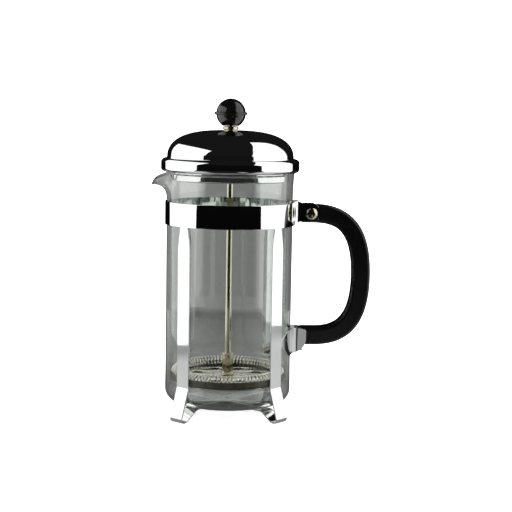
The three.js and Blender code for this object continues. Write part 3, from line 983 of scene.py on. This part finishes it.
PLUNGER = "knob_and_filter"  # the CAD body of the knob and of everything at the rod's lower end


def rod(metal):
    bottom, top = ends("rod")
    chamfer = 0.5
    profile = rounded(
        (0, bottom),
        (ROD_RADIUS - chamfer, bottom),
        (ROD_RADIUS, bottom + chamfer),
        (ROD_RADIUS, top - chamfer),
        (ROD_RADIUS - chamfer, top),
        (0, top),
    )
    skin = revolve(held(profile), 64)
    piece_from("plunger_rod", skin, metal, "rod", ["rod"])


def knob():
    """A ball with a raised line round its middle, bored for the rod."""
    radius = 11.4
    centre = high("knob") - radius
    bottom = low("knob")
    ridge = high("knob", Y)
    ridge_half = 1.0
    start = -math.asin((centre - bottom) / radius)
    ridge_angle = math.asin(ridge_half / radius) + 0.03
    below = arc(radius, start, -ridge_angle, 26, (0, centre))
    above = arc(radius, ridge_angle, math.pi / 2, 34, (0, centre))
    above[-1].x = 0
    line = rounded(
        (radius - 0.1, centre - ridge_half - 0.3),
        (radius + 0.1, centre - ridge_half, 0.25),
        (ridge, centre - ridge_half, 0.8),
        (ridge, centre + ridge_half, 0.8),
        (radius + 0.1, centre + ridge_half, 0.25),
        (radius - 0.1, centre + ridge_half + 0.3),
        steps=6,
    )[1:-1]
    socket = [flat(0, high("rod") + 0.3), flat(BORE, high("rod") + 0.3), flat(BORE, bottom)]
    skin = revolve(socket + below + line + above, 128)
    black = gloss_black()
    piece_from("knob_ball", skin, black, PLUNGER, ["knob"], sharp=50)


def filter_hub(metal):
    """A sleeve above the filter, collared at both ends."""
    bottom, top = ends("filter_hub")
    collar = high("filter_hub", Y)
    waist = collar - 0.4
    collar_height = 1.2
    profile = rounded(
        (BORE, bottom),
        (collar, bottom, 0.3),
        (collar, bottom + collar_height, 0.35),
        (waist, bottom + collar_height + 0.2),
        (waist, top - collar_height - 0.2),
        (collar, top - collar_height, 0.35),
        (collar, top, 0.45),
        (BORE, top, 0.3),
        steps=6,
    )
    skin = revolve(held(profile), 72, closed=True)
    piece_from("filter_sleeve", skin, metal, PLUNGER, ["filter_hub"])


def hole_ring(count, ring_radius, hole_radius, steps=24):
    rings = []
    for i in range(count):
        angle = TURN * (i + 0.5) / count
        centre = (ring_radius * math.cos(angle), ring_radius * math.sin(angle))
        rings.append(circle(hole_radius, steps, centre))
    return rings


def filter_plate(name, node, holes, metal):
    """A round plate with holes, clamped on the rod."""
    thickness, edge = 1.0, 0.2
    loops = [circle(high(node, Y), 160), circle(BORE, 40)] + holes
    mesh = plate_mesh(name, loops, low(node), thickness, edge)
    place(name, mesh, metal, PLUNGER, [node])


def spiral_plate(metal):
    holes = hole_ring(8, 12, 1.6) + hole_ring(8, 25.5, 4.2, 32)
    filter_plate("spring_plate", "spiral_plate", holes, metal)


def cross_plate(metal):
    holes = hole_ring(6, 15, 4.5, 32) + hole_ring(6, 32, 7, 40)
    filter_plate("backing_plate", "cross_plate", holes, metal)


def coil_spring(metal):
    """A thin wire wound round and round, and joined end to end round the plate."""
    turns = 88
    wire = 0.58
    per_turn = 16
    bottom, top = ends("coil_spring")
    outside = (top - bottom) / 2
    loop = outside - wire
    ring = high("coil_spring", Y) - outside
    middle = (top + bottom) / 2
    count = turns * per_turn

    def on_helix(step):
        around = TURN * step / count
        twist = TURN * step / per_turn
        outward = Vector((math.cos(around), math.sin(around), 0))
        from_loop = outward * math.cos(twist) + Vector((0, 0, math.sin(twist)))
        return outward * ring + UP * middle + from_loop * loop, from_loop

    rows = []
    for step in range(count):
        spot, away = on_helix(step)
        tangent = (on_helix(step + 0.5)[0] - on_helix(step - 0.5)[0]).normalized()
        side = tangent.cross(away).normalized()
        away = side.cross(tangent)
        rows.append([spot + away * spoke.x + side * spoke.y for spoke in circle(wire, 8)])
    skin = grid(rows, wrap_rows=True)
    piece_from("coil_edge", skin, metal, PLUNGER, ["coil_spring"], sharp=80)


def mesh_screen():
    """The woven dish: a flat bottom and a wall turned up round the coil, with a folded top edge."""
    thickness = 0.4
    bottom, top = ends("mesh_screen")
    outer = rounded(
        (BORE, bottom),
        (FILTER_RADIUS, bottom, 0.9),
        (FILTER_RADIUS, top - 0.15, 0.15),
        (FILTER_RADIUS - 0.2, top),
        steps=6,
    )
    inner = list(reversed(offset(outer, thickness)))
    inner[0] = flat(FILTER_RADIUS - thickness, top)
    skin = revolve(held(outer) + held(inner), 288, closed=True)
    piece_from("woven_screen", skin, woven_steel(), PLUNGER, ["mesh_screen"])


def filter_nut(metal):
    skin = hex_nut(5.5, BORE, *ends("filter_nut"))
    piece_from("filter_bottom_nut", skin, metal, PLUNGER, ["filter_nut"])


# ---- Stage, light and camera ----


def glow(name, strength):
    """A glowing material; strength is a number, or a function that gives a node's output."""
    material = bpy.data.materials.new(name)
    material.use_nodes = True
    nodes = material.node_tree.nodes
    nodes.remove(nodes["Principled BSDF"])
    light = nodes.new("ShaderNodeEmission")
    if callable(strength):
        link(material, strength(material), light.inputs["Strength"])
    else:
        light.inputs["Strength"].default_value = strength
    link(material, light.outputs["Emission"], nodes["Material Output"].inputs["Surface"])
    return material


def stage_mesh(name, skin, material, seen_by):
    """A thing of the studio, seen only by some kinds of ray: camera, diffuse, mirror, glass."""
    mesh = mesh_from(name, skin)
    mesh.materials.append(material)
    thing = bpy.data.objects.new(name, mesh)
    thing.location.x = AXIS_X
    bpy.context.scene.collection.objects.link(thing)
    thing.visible_camera = "camera" in seen_by
    thing.visible_diffuse = "diffuse" in seen_by
    thing.visible_glossy = "mirror" in seen_by
    thing.visible_transmission = "glass" in seen_by
    thing.visible_shadow = "camera" in seen_by


def disc(radius, z):
    return grid([[UP * z], [Vector((s.x, s.y, z)) for s in circle(radius, 96)]])


def ball(radius):
    rows = [[UP * -radius]]
    for lift in range(-80, 81, 10):
        across, z = radius * math.cos(math.radians(lift)), radius * math.sin(math.radians(lift))
        rows.append([Vector((s.x, s.y, z)) for s in circle(across, 64)])
    rows.append([UP * radius])
    return grid(rows)


def between(material, share, first, second):
    """Goes from the first level to the second as share goes from 0 to 1."""
    pick = add(material, "ShaderNodeMix", data_type="FLOAT", clamp_factor=True)
    link(material, share, pick.inputs["Factor"])
    for socket, level in (("A", first), ("B", second)):
        if isinstance(level, (int, float)):
            pick.inputs[socket].default_value = level
        else:
            link(material, level, pick.inputs[socket])
    return pick.outputs["Result"]


def fade(material, source, start, end, first, second):
    """Goes from the first level to the second as the source goes from start to end.

    In the four functions that follow, levels are strengths of light, and x, y and z are metres from
    the beaker's axis and the floor: towards the handle, towards the back and up."""
    return between(material, spread(material, source, 0, 1, start, end), first, second)


def table_in_mirrors(material):
    """A painted pool of light on both sides of the press, as if the soft boxes lit the table,
    dimmer at the boxes themselves; dark in front and behind.
    """
    x, y, _ = axes(material)
    away = away_from_axis(material, x, y)
    forward = math_node(material, "DIVIDE", math_node(material, "MULTIPLY", y, -1), away)
    # painted light: the glow is brighter on both sides of the press, as if lit by the soft boxes
    left = spread(material, x, 0.61, 0.33, -0.265, -0.315)
    beside = fade(material, x, 0.37, 0.43, left, 0.42)
    not_in_front = fade(material, forward, 0.6, 0.8, beside, 0.01)
    sides = fade(material, forward, -0.2, -0.45, not_in_front, 0.02)
    feet = fade(material, away, 0.06, 0.14, 0.25, sides)
    return fade(material, away, 0.45, 0.85, feet, 0.03)


def table_through_glass(material):
    """A painted shadow of the press, dark close under it and lighter further out, and painted
    light, lightest near the soft boxes.
    """
    x, y, _ = axes(material)
    away = away_from_axis(material, x, y)
    # painted shadow: the glow is darkest close under the press
    near = fade(material, away, 0.04, 0.22, 0.06, 0.205)
    far = fade(material, away, 0.3, 0.48, near, 0.15)
    behind = fade(material, away, 0.485, 0.53, far, 0.27)
    camera_side = spread(material, x, 0.16, 0.03, -0.02, 0.04)
    in_front = fade(material, y, -0.12, -0.03, camera_side, behind)
    # painted light: the glow is lightest towards the soft boxes on both sides
    sideways = spread(material, math_node(material, "ABSOLUTE", x), 0, 1, 0.07, 0.25)
    return between(material, sideways, in_front, 0.6)


def room_through_glass(material):
    """A grey backdrop with two brighter patches, a dark camera side and a lighter ceiling."""
    x, y, z = axes(material)
    between_patches = 0.096
    middle = spread(material, x, 0.33, 0.22, -0.25, 0.25)
    aside = math_node(material, "ABSOLUTE", math_node(material, "SUBTRACT", x, between_patches))
    beside = math_node(
        material,
        "MULTIPLY",
        spread(material, aside, 0, 1, 0.095, 0.13),
        spread(material, aside, 1, 0, 0.26, 0.34),
    )
    high_up = spread(material, z, 0.35, 1, -0.1, -0.03)
    backdrop = between(material, math_node(material, "MULTIPLY", beside, high_up), middle, 0.6)
    walls = fade(material, y, -0.6, 0.4, 0.015, backdrop)
    return fade(material, z, 0.3, 0.9, walls, 0.8)


def room_in_mirrors(material):
    """Nearly black, with the faintest light above."""
    _, _, z = axes(material)
    return spread(material, z, 0.001, 0.008, -0.2, 0.8)


def stage():
    """A white floor under a white sky for the eye; a glowing table and a dim room for mirrors and
    glass, the tables with painted light and shadow in their glow.
    """
    paper, shader = new_material(
        "floor_paper",
        Base_Color=(0.95, 0.95, 0.95, 1),
        Roughness=0.9,
        Emission_Color=(1, 1, 1, 1),
        Emission_Strength=0.8,
    )
    bump(paper, shader, noise(paper, 300, detail=2), 0.02)
    stage_mesh("floor", disc(6000, 0), paper, ("camera", "diffuse"))
    below_floor = -0.4
    # glowing tables seen only in mirrors or through glass; their glow holds painted light from the
    # soft boxes and painted shadow of the press
    light_table = glow("light_table", table_in_mirrors)
    stage_mesh("table_in_mirrors", disc(1100, below_floor), light_table, ("mirror",))
    stage_mesh("room_in_mirrors", ball(2600), glow("dim_room", room_in_mirrors), ("mirror",))
    dark_table = glow("dark_table", table_through_glass)
    stage_mesh("table_in_glass", disc(530, below_floor), dark_table, ("glass",))
    stage_mesh("room_in_glass", ball(2500), glow("grey_room", room_through_glass), ("glass",))


def soft_box(name, azimuth, distance, outline, strength):
    """A flat glowing cloth standing beside the press. Azimuth 0 is the camera's side, 90 the
    handle's; its outline is given as (towards the back, height)."""
    angle = math.radians(azimuth)
    away = Vector((math.sin(angle), -math.cos(angle), 0))
    back = Vector((math.cos(angle), math.sin(angle), 0)) * math.copysign(1, azimuth)
    corners = [away * distance + back * u + UP * z for u, z in outline]
    skin = corners, [list(range(len(corners)))]
    stage_mesh(name, skin, glow(name, strength), ("diffuse", "mirror", "glass"))


def reflector(name, corners, strength):
    """A card that is only seen in the metal."""
    skin = [Vector(corner) for corner in corners], [list(range(len(corners)))]
    stage_mesh(name, skin, glow(name, strength), ("mirror",))


def lights():
    """Two soft boxes, wider at the top, and a card that lights the bracket from low in front."""
    left_front = [(-194, 4), (-226, 135), (-334, 270), (-430, 620)]
    left_back = [(40, 495), (343, 446), (248, 234), (181, 4)]
    right_front = [(-386, 2), (-404, 125), (-735, 365), (-440, 900)]
    right_back = [(312, 1600), (310, 875), (184, 435), (202, 2)]
    soft_box("left_box", -94, 325, left_front + left_back, 1.25)
    soft_box("right_box", 94, 455, right_front + right_back, 1.25)
    reflector("low_card", [(70, -520, 1), (190, -520, 1), (120, -190, 1), (60, -190, 1)], 0.3)


def world():
    sky = bpy.data.worlds.new("studio")
    bpy.context.scene.world = sky
    sky.use_nodes = True
    background = sky.node_tree.nodes["Background"]
    background.inputs["Color"].default_value = (1, 1, 1, 1)
    background.inputs["Strength"].default_value = 1.9
    sky.cycles_visibility.glossy = False
    sky.cycles_visibility.transmission = False
    scene = bpy.context.scene
    scene.view_settings.view_transform = "Standard"
    scene.cycles.max_bounces = 32
    scene.cycles.glossy_bounces = 12
    scene.cycles.transmission_bounces = 32


def camera():
    """The camera stands a little to the spout's side of square on, looks slightly down, and is
    turned and rolled by about a degree."""
    distance, height = 973.3, 236.1
    round_the_axis = math.radians(-2.2)
    pitch = math.radians(-6.589)
    aside = math.radians(-1.2365)
    roll = math.radians(0.929)
    focal_share = 1254.05 / 512  # focal length over picture width
    data = bpy.data.cameras.new("camera")
    data.sensor_width = 36
    data.lens = focal_share * data.sensor_width
    data.clip_start = 0.05
    data.clip_end = 20
    thing = bpy.data.objects.new("camera", data)
    level = Matrix.Rotation(math.pi / 2, 4, "X")
    turned = Matrix.Rotation(round_the_axis, 4, "Z")
    aimed = Matrix.Rotation(aside, 4, "Z") @ Matrix.Rotation(pitch, 4, "X")
    rolled = Matrix.Rotation(roll, 4, "Z")
    spot = Matrix.Translation((0, -distance * MM, height * MM))
    centre = Matrix.Translation((AXIS_X, 0, 0))
    thing.matrix_world = centre @ turned @ spot @ aimed @ level @ rolled
    bpy.context.scene.collection.objects.link(thing)
    bpy.context.scene.camera = thing


# ---- Assembly ----

camera()
world()
stage()
lights()

chrome_metal = chrome()
nickel_metal = warm_nickel()
steel_metal = filter_steel()

beaker()
frame_band(chrome_metal)
leg_strap("leg_pair_upper", "leg_strap_upper", math.pi / 4, chrome_metal)
leg_strap("leg_pair_lower", "leg_strap_lower", -math.pi / 4, chrome_metal)
cross_rivet(chrome_metal)
lower_bracket(chrome_metal)
handle()
clamp_screw(nickel_metal)
clamp_nut(nickel_metal)
lid_dome(chrome_metal)
lid_inner_cup(chrome_metal)
lid_bushing(nickel_metal)
lid_bushing_nut(nickel_metal)
rod(rod_steel())
knob()
filter_hub(nickel_metal)
spiral_plate(steel_metal)
cross_plate(steel_metal)
coil_spring(steel_metal)
mesh_screen()
filter_nut(nickel_metal)
